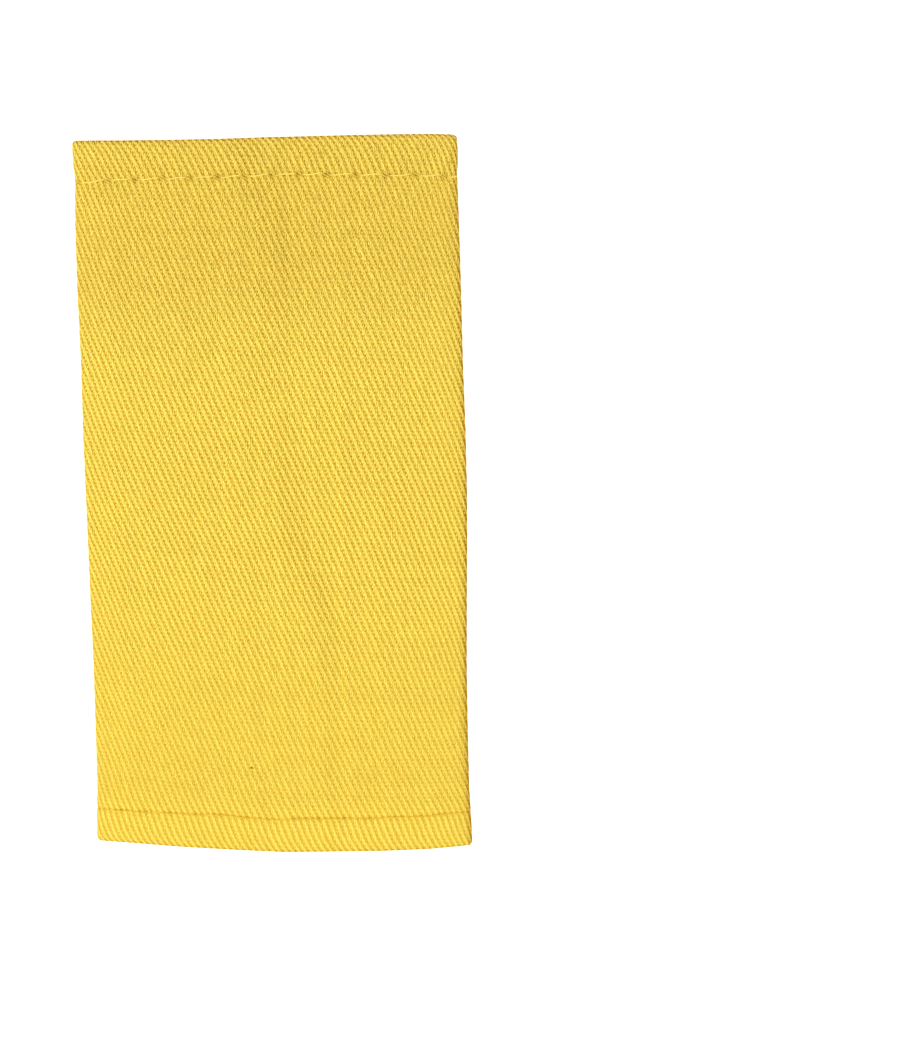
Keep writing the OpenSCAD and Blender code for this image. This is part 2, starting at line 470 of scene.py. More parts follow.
def hole_shares(hem):
    """How far round the sleeve each needle hole is: as measured on the front, even on the back."""
    section = Section(stitch_v(hem))
    shares = np.linspace(0, 1, 4000, endpoint=False)
    x = section.at(shares)[2]
    left, right = x.argmin(), x.argmax()
    hole_x = np.arange(hem.first_hole, x[right], hem.pitch)
    widened = hem.later_x + (hole_x - hem.later_x) * hem.later_pitch / hem.pitch
    hole_x = np.where(hole_x < hem.later_x, hole_x, widened)
    hole_x = np.concatenate([[hem.fold_hole], hole_x[hole_x < x[right] - 0.5]])
    front = np.interp(hole_x, x[left:right], shares[left:right])
    gap = front[0] + 1 - front[-1]
    count = round(gap * section.perimeter / hem.pitch)
    back = front[-1] + gap * np.arange(1, count) / count
    return np.sort(np.mod(np.concatenate([front, back]), 1))


for hem in (TOP, BOTTOM):
    hem.holes = hole_shares(hem)
HOLE_OFF = rng.normal(0, 0.05, 40)
HOLE_ALONG = rng.normal(0, 0.06, 40)


def row_place(hem, share, x, from_mouth):
    """Where points are against their row of stitches: off it, and along it from the nearest needle hole."""
    around = np.concatenate([hem.holes[-1:] - 1, hem.holes, hem.holes[:1] + 1])
    nearest = np.abs(share[:, None] - around[None]).argmin(1)
    off = from_mouth - stitch_inset(hem, x) - HOLE_OFF[nearest]
    return off, (share - around[nearest]) * ROUND - HOLE_ALONG[nearest]


# Soft forms and marks of the cloth


def ridge_lift(x, v):
    """How far the allowance lifts the front: a long rise from the left, a short fall on the right."""
    past = x - ridge_x(v)
    rise = ease(1 + past / ALLOWANCE_W)
    fall = ease(1 - past / RIDGE_FALL)
    return RIDGE_H * lookup(RIDGE, v, 2) * np.where(past < 0, rise, fall)


def soft_lift(x, y):
    """Undulation that fades out towards the side folds."""
    return undulation(x, y) * ease((SIDE_X - np.abs(x)) / FADE_RUN)


def seam_lift(x):
    """The seam's ridge on the back, with a shallow hollow on each side."""
    past = x - SEAM_X
    return SEAM_RIDGE * bell(past, SEAM_HALF) - SEAM_HOLLOW * bell(np.abs(past) - HOLLOW_OFF, HOLLOW_HALF)


def lump(x, v, from_mouth):
    """How far the allowance lifts the turned ply of a hem that lies on it."""
    past = np.abs(allowance_x(v) - x) - ALLOWANCE_W / 2
    across = ease(1 - (past + LUMP_INSIDE) / LUMP_FALL)
    return LUMP_H * across * ease((from_mouth - LUMP_FROM) / LUMP_RISE)


def groove(hem, off, along, x):
    """How far stitches pull the cloth in: a groove along the row, pits at the holes, puffs beside it."""
    line = hem.groove * bell(off, hem.groove_half)
    pit = HOLE_DEPTH * bell(along, HOLE_LONG) * bell(off, HOLE_WIDE)
    puff = hem.puff * bell(np.abs(off) - PUFF_OFF, PUFF_HALF) * ease(np.abs(along) / PUFF_RISE)
    on_fold = ease((np.abs(x) - SIDE_X + FOLD_INSIDE) / FOLD_RUN)
    return (line + pit - puff) * (1 - FOLD_TAKES * on_fold)


def shade_and_wear_at(row, x, front):
    """Painted shade from 0 to 1 on the right fold and the rim, and at the ridge partly real wear, partly
    painted shade.
    """
    past = x - ridge_x(row.v) + WEAR_AND_SHADE_ASIDE + WEAR_AND_SHADE_TOP * ease((row.v - WEAR_AND_SHADE_FROM) / WEAR_AND_SHADE_RUN)
    wear_and_shade = WEAR_AND_SHADE * lookup(RIDGE, row.v, 2) * bell(past, np.where(past < 0, WEAR_AND_SHADE_LEFT, WEAR_AND_SHADE_RIGHT))
    from_right = right_x(row.v) - x
    fold = NARROW_SHADE * bell(from_right, NARROW_HALF) + WIDE_SHADE * bell(from_right, WIDE_HALF)
    rim = row.hem.rim * bell(row.from_mouth, RIM_HALF)
    return np.maximum(np.where(front, wear_and_shade, 0), np.maximum(fold, rim))


# Rings of the cloth


class Row:
    """One ring of the cloth's surface: where it lies along the sleeve, how deep, and which way it faces.

    end is 0 at the bottom mouth and 1 at the top one, and a share between them in the body. bottom and top
    are how far the ring is in from each mouth, depth how far in from the outer skin, and turn the angle that
    the surface has turned through at the mouth. path is the distance along the cloth from the bottom mouth.
    """

    def __init__(self, end, bottom, top, depth, turn=0.0, path=None):
        self.end, self.bottom, self.top, self.depth, self.turn = end, bottom, top, depth, turn
        self.hem = TOP if end > 0.5 else BOTTOM
        from_bottom = mix(bottom, LENGTH - top, end)
        self.from_mouth = LENGTH - from_bottom if self.hem is TOP else from_bottom
        self.v = from_bottom / LENGTH
        self.path = self.v * LENGTH if path is None else path
        self.turned_ply = depth > BETWEEN_PLIES
        self.on_turn = 0 < turn < math.pi

    def y(self, x):
        return mix(mouth_y(BOTTOM, x) + self.bottom, mouth_y(TOP, x) - self.top, self.end)


def ring(row, warps, ribs=True):
    """Points of one ring at some of the warps, how far across the cloth they are, and their marks.

    The marks are the painted shade and wear, the place at the row of stitches and the look of the weave.
    """
    section = Section(row.v)
    across = warps * WARP_PITCH - lean(row.path)
    across = across + wander(across, row.path)
    share = across / ROUND
    base, out, x = section.at(share)
    y = row.y(x)
    front = out[:, 1] > 0

    lift = np.where(front, ridge_lift(x, row.v), 0) + np.where(front, 1.0, BACK_SHARE) * soft_lift(x, y)
    rise = seam_lift(x)
    if row.turned_ply and row.turn < math.pi:
        rise = SEAM_IN_TURN * rise
    if row.turned_ply:
        rise = rise + lump(x, row.v, row.from_mouth)

    height = np.zeros(len(warps))
    off, along = np.full((2, len(warps)), FAR)
    if ribs:
        height = np.tile(RIB_RELIEF, len(warps) // WARPS_PER_RIB)
    if ribs and row.end in (0, 1) and not row.on_turn:
        off, along = row_place(row.hem, np.mod(share, 1), x, row.from_mouth)
        height = height - groove(row.hem, off, along, x)

    outward = section.fold - row.depth + lift + height * math.cos(row.turn)
    xz = base + outward[:, None] * out
    xz[:, 1] += np.where(front, 0, rise)
    y = y + row.hem.side * height * math.sin(row.turn)

    shown = ribs and row.depth < TURN_R
    shade_and_wear = shade_and_wear_at(row, x, front) if shown else np.zeros(len(warps))
    # A mesh without these marks reads them as 0, so the first three are what they add to the usual look
    look = np.array([lookup(LOOK, row.v, column) for column in (1, 2, 3, 4)]) - (1, 1, 1, 0)
    marks = np.column_stack([shade_and_wear, off, along, np.tile(look, (len(warps), 1))])
    return np.column_stack([xz[:, 0], y, xz[:, 1]]), across, marks


def hem_rows(hem):
    """Rows of a hem's turned ply, its turn at the mouth and its outer ply, from raw edge to body."""
    def row(inset, depth, turn, from_mouth):
        path = LENGTH - from_mouth if hem is TOP else from_mouth
        return Row(hem.end, inset, inset, depth, turn, path)

    ply = [row(s, HEM_T, math.pi, TURN_R * (2 - math.pi) - s) for s in spaced(hem.depth, TURN_R, BODY_STEP)]
    turn = []
    for a in np.linspace(math.pi, 0, 9)[1:-1]:
        turn.append(row(TURN_R * (1 - math.sin(a)), TURN_R * (1 - math.cos(a)), a, TURN_R * (1 - a)))
    first_sewn, last_sewn = hem.stitch - SEWN_REACH, hem.stitch + SEWN_REACH
    outer = [*spaced(TURN_R, first_sewn - SEWN_STEP, NEAR_STEP), *spaced(first_sewn, last_sewn, SEWN_STEP)]
    return ply + turn + [Row(hem.end, s, s, 0) for s in outer]


def body_rows():
    """Rows of the outer face between the hems."""
    bottom, top = BOTTOM.stitch + BODY_FROM, TOP.stitch + BODY_FROM
    count = round((LENGTH - bottom - top) / BODY_STEP)
    return [Row(m, bottom, top, 0) for m in np.linspace(0, 1, count + 1)]


def inner_rows():
    """Rows of the faces that look inwards, from the top hem's raw edge round to the bottom hem's."""
    top_insets, bottom_insets = ((hem.depth, hem.stitch, TURN_R + 1, TURN_R) for hem in (TOP, BOTTOM))
    rows = [Row(1, s, s, CLOTH + SLIT, path=LENGTH - s) for s in top_insets]
    rows += [Row(1, s, s, CLOTH) for s in top_insets[::-1]]
    rows += [Row(m, BOTTOM.depth, TOP.depth, CLOTH) for m in np.linspace(1, 0, INNER_ROWS + 2)[1:-1]]
    rows += [Row(0, s, s, CLOTH) for s in bottom_insets]
    rows += [Row(0, s, s, CLOTH + SLIT, path=s) for s in bottom_insets[::-1]]
    return rows


def mesh_object(name, points, faces, materials, face_slots=None, uv=None):
    """A shaded mesh object from points in millimetres, faces of any size, and a UV for each corner."""
    mesh = bpy.data.meshes.new(name)
    mesh.from_pydata((np.asarray(points) * MM).tolist(), [], faces)
    for material in materials:
        mesh.materials.append(material)
    mesh.polygons.foreach_set("use_smooth", np.ones(len(mesh.polygons), dtype=bool))
    if face_slots is not None:
        mesh.polygons.foreach_set("material_index", face_slots)
    if uv is not None:
        layer = mesh.uv_layers.new(name="weave")
        layer.data.foreach_set("uv", np.asarray(uv, dtype=np.float32).ravel())
    mesh.update()
    made = bpy.data.objects.new(name, mesh)
    bpy.context.scene.collection.objects.link(made)
    return made


def add_marks(made, names, columns):
    """Float attributes of a mesh's points, which its material reads."""
    for name, column in zip(names, columns):
        attribute = made.data.attributes.new(name, "FLOAT", "POINT")
        attribute.data.foreach_set("value", np.ascontiguousarray(column, dtype=np.float32))


# Materials


class Nodes:
    """Short calls for making a material's node tree."""

    def __init__(self, name):
        self.material = bpy.data.materials.new(name)
        self.material.use_nodes = True
        self.tree = self.material.node_tree
        self.shader = self.tree.nodes["Principled BSDF"]

    def set(self, node, inputs):
        """Put values and links on a node's inputs, which go by name or number."""
        for key, value in dict(inputs).items():
            if hasattr(value, "is_output"):
                self.tree.links.new(value, node.inputs[key])
            else:
                node.inputs[key].default_value = value
        return node

    def new(self, kind, inputs=(), **settings):
        node = self.tree.nodes.new(kind)
        for key, value in settings.items():
            setattr(node, key, value)
        return self.set(node, inputs)

    def math(self, operation, *values, clamp=False):
        return self.new("ShaderNodeMath", enumerate(values), operation=operation, use_clamp=clamp).outputs[0]

    def plus(self, a, b):
        return self.math("ADD", a, b)

    def minus(self, a, b, clamp=False):
        return self.math("SUBTRACT", a, b, clamp=clamp)

    def times(self, a, b, clamp=False):
        return self.math("MULTIPLY", a, b, clamp=clamp)

    def times_plus(self, a, b, more):
        return self.math("MULTIPLY_ADD", a, b, more)

    def combine(self, *values):
        return self.new("ShaderNodeCombineXYZ", enumerate(values)).outputs[0]

    def split(self, vector):
        return tuple(self.new("ShaderNodeSeparateXYZ", {0: vector}).outputs)

    def blend(self, factor, a, b, mode="MIX"):
        inputs = {"Factor": factor, 6: a, 7: b}
        return self.new("ShaderNodeMix", inputs, data_type="RGBA", blend_type=mode).outputs[2]

    def tint(self, factor, colour, by):
        """A colour multiplied by another one as far as the factor says."""
        return self.blend(factor, colour, (*by, 1), "MULTIPLY")

    def ramp(self, factor, low, middle, high):
        node = self.new("ShaderNodeValToRGB", {0: factor})
        stops = node.color_ramp.elements
        stops[0].color, stops[1].color = (*low, 1), (*high, 1)
        stops.new(0.5).color = (*middle, 1)
        return node.outputs[0]

    def attribute(self, name):
        return self.new("ShaderNodeAttribute", attribute_name=name).outputs["Fac"]

    def place(self):
        return self.new("ShaderNodeTexCoord").outputs["Object"]

    def noise(self, vector, scale, detail, rough):
        inputs = {"Vector": vector, "Scale": scale, "Detail": detail, "Roughness": rough}
        return self.new("ShaderNodeTexNoise", inputs).outputs["Fac"]

    def chance(self, value):
        return self.new("ShaderNodeTexWhiteNoise", {"W": value}, noise_dimensions="1D").outputs["Value"]

    def chances(self, a, b):
        """Random numbers for a pair of whole numbers: one by itself, and three more."""
        node = self.new("ShaderNodeTexWhiteNoise", {"Vector": self.combine(a, b)}, noise_dimensions="2D")
        three = self.new("ShaderNodeSeparateColor", {0: node.outputs["Color"]})
        return (node.outputs["Value"], *three.outputs)

    def spread(self, value, low, high):
        """A number from 0 to 1 brought to low to high."""
        return self.times_plus(value, high - low, low)

    def about(self, middle, by, value):
        """A number from 0 to 1 brought to the middle and by as much on each side."""
        return self.spread(value, middle - by, middle + by)

    def bell(self, *pairs):
        """1 where each value is 0, falling off over the half width that comes with it."""
        total = 0.0
        for value, half in pairs:
            total = self.times_plus(self.times(value, value), -half ** -2, total)
        return self.math("EXPONENT", total)

    def wave(self, turns, peak=0.0):
        """Cosine of a number of turns, highest at its peak."""
        return self.math("COSINE", self.times(self.minus(turns, peak), 2 * math.pi))

    def bump(self, height, distance, strength):
        inputs = {"Distance": distance, "Strength": strength, "Height": height}
        return self.new("ShaderNodeBump", inputs).outputs["Normal"]

    def matt(self, colour, normal, roughness, specular):
        """The finished material: a matt surface of this colour and relief."""
        self.set(self.shader, {"Base Color": colour, "Normal": normal})
        self.set(self.shader, {"Roughness": roughness, "Specular IOR Level": specular})
        return self.material


def crossing_dips(n, warp, weft, weft_number):
    """The weave's pits, about 0: a warp dives under a weft at each crossing, and each lies a little off."""
    nearest = n.times(n.plus(n.plus(warp, weft_number), 1.5), 1 / WARPS_PER_RIB)
    _, off_x, off_y, strength = n.chances(n.math("FLOOR", nearest), weft_number)
    dx = n.times(n.minus(n.math("FRACT", nearest), 0.5), WARPS_PER_RIB)
    dx = n.plus(dx, n.about(0, STRAY_ACROSS, off_x))
    dy = n.minus(n.math("FRACT", weft), 0.5)
    dy = n.plus(dy, n.about(0, STRAY_ALONG, off_y))
    dip = n.times(n.bell((dx, PIT_WIDTH), (dy, PIT_LENGTH)), n.about(1, PIT_VARIES, strength))
    return n.times_plus(dip, -PIT_DEPTH, PIT_DEPTH * PIT_MEAN)


def rib_shape(n, rib, float_share):
    """Height of the ribs, about 0, with furrow and a foot of painted shade, and the wave that their crests
    follow.
    """
    stepped = n.plus(n.times(rib, 1 - STEPS), n.times(float_share, STEPS))
    crest_wave = n.wave(stepped, CREST_AT)
    inputs = {"Value": crest_wave, "From Min": 0.9, "From Max": -0.5}
    furrow = n.new("ShaderNodeMapRange", inputs, interpolation_type="SMOOTHSTEP").outputs[0]
    shaded_foot = n.math("POWER", n.math("MAXIMUM", n.wave(stepped, SHADED_FOOT_AT), 0.0), 8)
    height = n.times_plus(furrow, -FURROW_DEPTH, FURROW_MEAN)
    return n.times_plus(shaded_foot, -SHADED_FOOT_DEPTH, height), crest_wave


def warp_roundness(n, warp):
    """The rounded top of each warp, from 0 at its sides to 1 in the middle."""
    across = n.minus(n.times(n.math("FRACT", warp), 2), 1)
    return n.math("SQRT", n.minus(1.0, n.times(across, across), clamp=True))


def fibre_fuzz(n, warp, weft):
    """Fibres along the yarns with their shade a little aside, about 0."""
    along = n.times(weft, FIBRES_PER_WEFT)
    lit, shaded = (
        n.noise(n.combine(n.times_plus(warp, FIBRES_PER_WARP, aside), along), 1, 1, 0.7)
        for aside in (0, FIBRE_ASIDE))
    return n.minus(lit, shaded)


def yarn_tone(n, place, warp_number, weft_number):
    """Shade of the cloth about 1: yarns differ a little, and the cloth is mottled."""
    weft_shade = n.about(0, WEFT_TONE, n.chance(n.plus(weft_number, 700.5)))
    tone = n.plus(n.about(1, WARP_TONE, n.chance(warp_number)), weft_shade)
    tone = n.times(tone, n.about(1, MOTTLE, n.noise(place, 420, 3, 0.6)))
    return n.times(tone, n.about(1, MOTTLE, n.noise(place, 60, 2, 0.5)))


def stitch_marks(n, place, crest_wave, grain):
    """The crease's painted shade along a row of stitches, and slanting strokes at its needle holes: dark ones
    of painted shade, light ones of pulled yarn.
    """
    off, along = n.attribute("row_off"), n.attribute("row_along")
    top = n.math("GREATER_THAN", n.split(place)[1], 0.0)
    ragged = n.plus(off, n.about(0, RAGGED_CREASE, grain))
    ragged = n.times_plus(crest_wave, CREASE_WAVE, ragged)
    crease_shade = n.times(n.bell((ragged, CREASE_HALF)), n.spread(top, BOTTOM.crease_shade, TOP.crease_shade))
    crease_shade = n.times(crease_shade, n.about(1, 0.4, n.noise(place, 260, 1, 0.5)))
    slanting = n.minus(n.times(along, 0.6), off)
    stroke = n.wave(n.times(slanting, 1 / STROKE_PITCH))
    stroke = n.plus(stroke, n.about(0, 1.3, n.noise(place, 1900, 1, 0.5)))
    near = n.bell((along, HOLE_REACH), (off, HOLE_REACH))
    near = n.times(near, n.spread(top, BOTTOM.mark, TOP.mark))
    dark = n.times(near, n.spread(stroke, 0.50, 1.0), clamp=True)
    light = n.times(near, n.spread(stroke, -0.15, -1.2), clamp=True)
    return crease_shade, dark, light


def specked(n, place, colour, grain):
    """The cloth's colour with the brown specks of the front."""
    for x, y, radius, strength in SPECKS:
        scale, shift = (1 / MM, 1 / MM, SPECK_TALL / MM), (-x, -y, -SPECK_TALL * BODY_H)
        there = n.new("ShaderNodeVectorMath", {0: place, 1: scale, 2: shift}, operation="MULTIPLY_ADD")
        far = n.new("ShaderNodeVectorMath", {0: there.outputs[0]}, operation="LENGTH")
        ragged = n.plus(far.outputs["Value"], n.about(0, RAGGED_SPECK, grain))
        mark = n.times(n.minus(radius, ragged), strength / 0.08, clamp=True)
        colour = n.tint(n.times(mark, strength), colour, SPECK)
    return colour


def twill_material(name, crest, mid, pit, sewn):
    """Steep 3/1 twill drawn yarn by yarn: the UV counts ribs across and wefts along.

    Sewn cloth has marks at its rows of stitches.
    """
    n = Nodes(name)
    place = n.place()
    rib, weft, _ = n.split(n.new("ShaderNodeUVMap", uv_map="weave").outputs[0])
    warp = n.minus(n.times(rib, WARPS_PER_RIB), weft)
    warp_number, weft_number = n.math("FLOOR", warp), n.math("FLOOR", weft)
    float_share = n.times(n.plus(n.plus(warp_number, weft), 0.5), 1 / WARPS_PER_RIB)
    float_number = n.math("FLOOR", n.minus(float_share, 0.25))
    contrast, pits, fuzziness = (
        n.plus(n.attribute(mark), 1.0) for mark in ("contrast_by", "pits_by", "fuzz_by"))

    # Height of the weave, as a share of the colour ramp
    ribs, crest_wave = rib_shape(n, rib, float_share)
    roundness = warp_roundness(n, warp)
    height = n.times_plus(crossing_dips(n, warp, weft, weft_number), pits, ribs)
    height = n.times_plus(height, contrast, n.plus(n.attribute("paler_by"), MIDDLE_H))
    height = n.plus(height, n.spread(roundness, -0.10, 0.03))
    height = n.plus(height, n.about(0, FLOAT_VARIES, n.chances(warp_number, float_number)[0]))
    fuzz = n.times(fibre_fuzz(n, warp, weft), n.times(fuzziness, FUZZ))
    height = n.plus(height, fuzz)

    grain = n.noise(place, 5200, 2, 0.7)
    colour = n.ramp(n.plus(height, n.about(0, GRAIN, grain)), pit, mid, crest)
    tone = yarn_tone(n, place, warp_number, weft_number)
    colour = n.blend(1.0, colour, n.combine(tone, tone, tone), "MULTIPLY")

    # The painted shade and wear lie deepest in the pits of the weave
    shade_and_wear = n.times(n.attribute("shade_and_wear"), n.spread(height, 1.75, 0.35), clamp=True)
    # Painted shade along the stitch crease and in dark strokes at the holes, with pulled yarn in the light
    # strokes
    if sewn:
        crease_shade, dark, light = stitch_marks(n, place, crest_wave, grain)
        colour = n.tint(crease_shade, colour, CREASE_SHADE)
        colour = n.blend(light, colour, (*PULLED, 1))
        shade_and_wear = n.math("MAXIMUM", shade_and_wear, dark)
    colour = n.tint(shade_and_wear, colour, SHADE_AND_WEAR)
    colour = specked(n, place, colour, grain)
    relief = n.plus(height, n.spread(roundness, -0.2, 0.1))
    return n.matt(colour, n.bump(relief, 0.00012, 0.8), roughness=0.85, specular=0.03)


def thread_material(name, light, dark):
    """Fuzzy sewing thread, with painted shade where it dives into the cloth."""
    n = Nodes(name)
    fuzz = n.noise(n.place(), 3000, 2, 0.6)
    colour = n.blend(fuzz, (*dark, 1), (*light, 1))
    colour = n.tint(n.attribute("shade_and_wear"), colour, SHADE_AND_WEAR)
    return n.matt(colour, n.bump(fuzz, 0.00003, 0.6), roughness=0.75, specular=0.05)


twill = twill_material(
    "twill", crest=(0.98, 0.765, 0.142), mid=(0.70, 0.450, 0.042), pit=(0.49, 0.220, 0.006), sewn=True)
twill_back = twill_material(
    "twill_reverse", crest=(0.75, 0.59, 0.11), mid=(0.59, 0.38, 0.04), pit=(0.42, 0.17, 0.006), sewn=False)
top_thread = thread_material("top_thread", light=(0.95, 0.81, 0.18), dark=(0.86, 0.68, 0.10))
bottom_thread = thread_material("bottom_thread", light=(0.84, 0.58, 0.07), dark=(0.76, 0.48, 0.05))
pulled_fibre = thread_material("pulled_fibre", light=(0.90, 0.68, 0.10), dark=(0.70, 0.42, 0.03))


# Cloth


def make_sleeve():
    """The sleeve's cloth as one closed mesh: ribbed outer rows, then inner ones of a point for each rib."""
    outer = hem_rows(BOTTOM) + body_rows() + hem_rows(TOP)[::-1]
    inner = inner_rows()
    rings = [ring(row, np.arange(COLUMNS)) for row in outer]
    rings += [ring(row, np.arange(0, COLUMNS, WARPS_PER_RIB), ribs=False) for row in inner]
    points, across_rows, marks = zip(*rings)
    rows = outer + inner
    starts = np.cumsum([0] + [len(p) for p in points])
    faces, uvs, slots = [], [], []

    def corner_uv(r, c, wrap, turn):
        """UV of a corner: ribs across, and wefts along with their tilt."""
        across = across_rows[r][c % len(points[r])] + turn * ROUND - wrap * ROUND
        points_per_rib = len(points[r]) // RIBS
        rib = (c % len(points[r])) / points_per_rib + turn * RIBS - (1 - CREST_AT)
        return rib, (rows[r].path - WEFT_TILT * (across - ROUND / 2)) / WEFT_PITCH

    def add(corners, slot):
        """corners are (row, column) pairs. A column past the last is the first one again."""
        r0, c0 = corners[0]
        wrap = math.floor(across_rows[r0][c0 % len(points[r0])] / ROUND)
        faces.append([int(starts[r] + c % len(points[r])) for r, c in corners])
        uvs.extend(corner_uv(r, c, wrap, c // len(points[r])) for r, c in corners)
        slots.append(slot)

    last_outer, last = len(outer) - 1, len(rows) - 1
    for r in range(last_outer):
        for c in range(COLUMNS):
            add([(r, c), (r, c + 1), (r + 1, c + 1), (r + 1, c)], 0)
    for r in range(last_outer + 1, last):
        for c in range(RIBS):
            add([(r, c), (r, c + 1), (r + 1, c + 1), (r + 1, c)], 1)
    # The raw edges of both hems
    for c in range(RIBS):
        fan = [(last_outer, WARPS_PER_RIB * c + k) for k in range(WARPS_PER_RIB + 1)]
        add(fan + [(last_outer + 1, c + 1), (last_outer + 1, c)], 0)
        fan = [(0, WARPS_PER_RIB * c + k) for k in range(WARPS_PER_RIB, -1, -1)]
        add([(last, c), (last, c + 1)] + fan, 0)
    cloth = mesh_object("sleeve_cloth", np.concatenate(points), faces, [twill, twill_back], slots, uvs)
    names = ("shade_and_wear", "row_off", "row_along", "contrast_by", "pits_by", "fuzz_by", "paler_by")
    add_marks(cloth, names, np.concatenate(marks).T)
    return cloth


# Threads


THREAD_SIDES = 8


def smooth(points, steps=6):
    """A smooth line through a few points."""
    points = np.asarray(points, dtype=float)
    whole = np.vstack([2 * points[0] - points[1], points, 2 * points[-1] - points[-2]])
    line = []
    for i in range(1, len(whole) - 2):
        p0, p1, p2, p3 = whole[i - 1:i + 3]
        for t in np.linspace(0, 1, steps, endpoint=False):
            line.append(0.5 * (2 * p1 + (p2 - p0) * t + (2 * p0 - 5 * p1 + 4 * p2 - p3) * t ** 2
                               + (3 * p1 - p0 - 3 * p2 + p3) * t ** 3))
    line.append(points[-1])
    return np.array(line)


def tube(path, radius, sides=THREAD_SIDES):
    """Points and faces of a thread along a path, closed at both ends."""
    path = np.asarray(path)
    along = np.gradient(path, axis=0)
    along /= np.linalg.norm(along, axis=1, keepdims=True)
    side = np.cross(along, np.array([0, 0, 1.0]))
    short = np.linalg.norm(side, axis=1) < 1e-3
    side[short] = np.cross(along[short], np.array([0, 1.0, 0]))
    side /= np.linalg.norm(side, axis=1, keepdims=True)
    up = np.cross(side, along)
    angle = 2 * np.pi * np.arange(sides) / sides
    radius = np.broadcast_to(np.asarray(radius, dtype=float), len(path))
    around = np.cos(angle)[None, :, None] * side[:, None] + np.sin(angle)[None, :, None] * up[:, None]
    points = path[:, None] + radius[:, None, None] * around
    faces = []
    for r in range(len(path) - 1):
        for c in range(sides):
            a, b = r * sides + c, r * sides + (c + 1) % sides
            faces.append([a, b, b + sides, a + sides])
    faces.append(list(range(sides))[::-1])
    faces.append([(len(path) - 1) * sides + c for c in range(sides)])
    return points.reshape(-1, 3), faces


def joined(name, tubes, material):
    """One mesh of many threads."""
    points, faces, start = [], [], 0
    for some_points, some_faces in tubes:
        points.append(some_points)
        faces += [[start + i for i in face] for face in some_faces]
        start += len(some_points)
    return mesh_object(name, np.concatenate(points), faces, [material])


def on_hem(hem, share, shift, lift, inner=False):
    """Points on a hem's outer face, or on its turned ply, along its row of stitches."""
    v = stitch_v(hem)
    section = Section(v)
    base, out, x = section.at(share)
    inset = stitch_inset(hem, x) + shift
    y = mouth_y(hem, x) - hem.side * inset
    front = out[:, 1] > 0
    lift = lift - FOLD_SUNK * ease(np.abs(x) - SIDE_X + 0.4)
    if inner:
        level = section.fold - HEM_T - lift
        rise = SEAM_IN_TURN * seam_lift(x) + lump(x, v, inset)
    else:
        level = section.fold + np.where(front, lift, lift - BACK_SUNK)
        rise = seam_lift(x)
    level = level + np.where(front, ridge_lift(x, v) + soft_lift(x, y), 0)
    xz = base + level[:, None] * out
    xz[:, 1] += np.where(front, 0, rise)
    return np.column_stack([xz[:, 0], y, xz[:, 1]])


def make_stitches(name, hem, material):
    """One thread for each stitch, outside and inside, from hole to hole."""
    tubes, shade_and_wear = [], []
    steps = np.linspace(0, 1, 21)
    from_middle = np.abs(2 * steps - 1)
    for k, hole in enumerate(hem.holes):
        pitch = np.mod(hem.holes[(k + 1) % len(hem.holes)] - hole, 1)
        jitter = rng.normal(0, 0.03, 2)
        ripple = rng.uniform(0, 2 * np.pi, 3)
        share = hole + pitch * mix(0.04, 0.96, steps)
        # Off the row: a slant, and a hook at each hole
        shift = hem.slant * (0.5 - steps) + jitter[0] + 0.045 * np.sin(9 * steps + ripple[0])
        shift = shift + 0.20 * np.exp(-steps / 0.05) - 0.14 * np.exp(-(1 - steps) / 0.05)
        # Over the cloth: a flat crown that dives at both ends, where the thread is thinner too
        lift = hem.crown * (1 - from_middle ** 6) - hem.sunk * from_middle ** 6
        lift = lift + 0.3 * jitter[1] + 0.03 * np.sin(14 * steps + ripple[1])
        thick = hem.thread_r * (1 - 0.25 * from_middle ** 4 + 0.08 * np.sin(20 * steps + ripple[2]))
        for inner in (False, True):
            tubes.append(tube(on_hem(hem, share, shift, lift, inner), thick))
            # Painted shade on the ends of each stitch, where the thread dives into its hole
            shade_and_wear.append(np.minimum(1, 1.6 * from_middle ** 7))
    stitches = joined(name, tubes, material)
    add_marks(stitches, ["shade_and_wear"], [np.repeat(np.concatenate(shade_and_wear), THREAD_SIDES)])
    return stitches


def make_fibres():
    """Short loose ends of fibre that the needle pulled up at the holes of the front."""
    tubes = []
    steps = np.linspace(0, 1, 6)
    bend = steps ** 2
    for hem in (TOP, BOTTOM):
        for hole in hem.holes[np.abs(hem.holes - 0.5) < 0.24]:
            for _ in range(hem.fibres):
                spot = hole + rng.normal(0, 0.30) / ROUND
                start = rng.normal(0, 0.20)
                reach = rng.uniform(0.35, 0.9) * rng.choice([-1, 1])
                sway = rng.normal(0, 0.2, 2)
                share = spot + (sway[0] * steps + sway[1] * bend) / ROUND
                path = on_hem(hem, share, start + reach * steps, -0.06 + 0.12 * np.sin(2.6 * steps))
                tubes.append(tube(path, hem.fibre_r * (1 - 0.5 * steps), 5))
    return joined("hole_fibres", tubes, pulled_fibre)


# Seam allowance: a strip of two plies with an overlocked edge, which runs a little way under both hems


# Where the strip starts and ends in Y, its thickness, the height of its underside, and the points round it
STRIP_FROM, STRIP_TO = -LENGTH / 2 + BOTTOM.stitch + 0.3, LENGTH / 2 - TOP.stitch - 0.6
STRIP_T = 1.1
STRIP_FLOOR = CLOTH + 0.28
STRIP_SIDES = 28

# Length of an overlock stitch, and how far it reaches in from the strip's free edge
OVERLOCK_PITCH, OVERLOCK_REACH = 1.5, 4.6


def squared(wave, power):
    """A wave with flatter tops: the smaller the power, the nearer to a square."""
    return np.sign(wave) * np.abs(wave) ** power


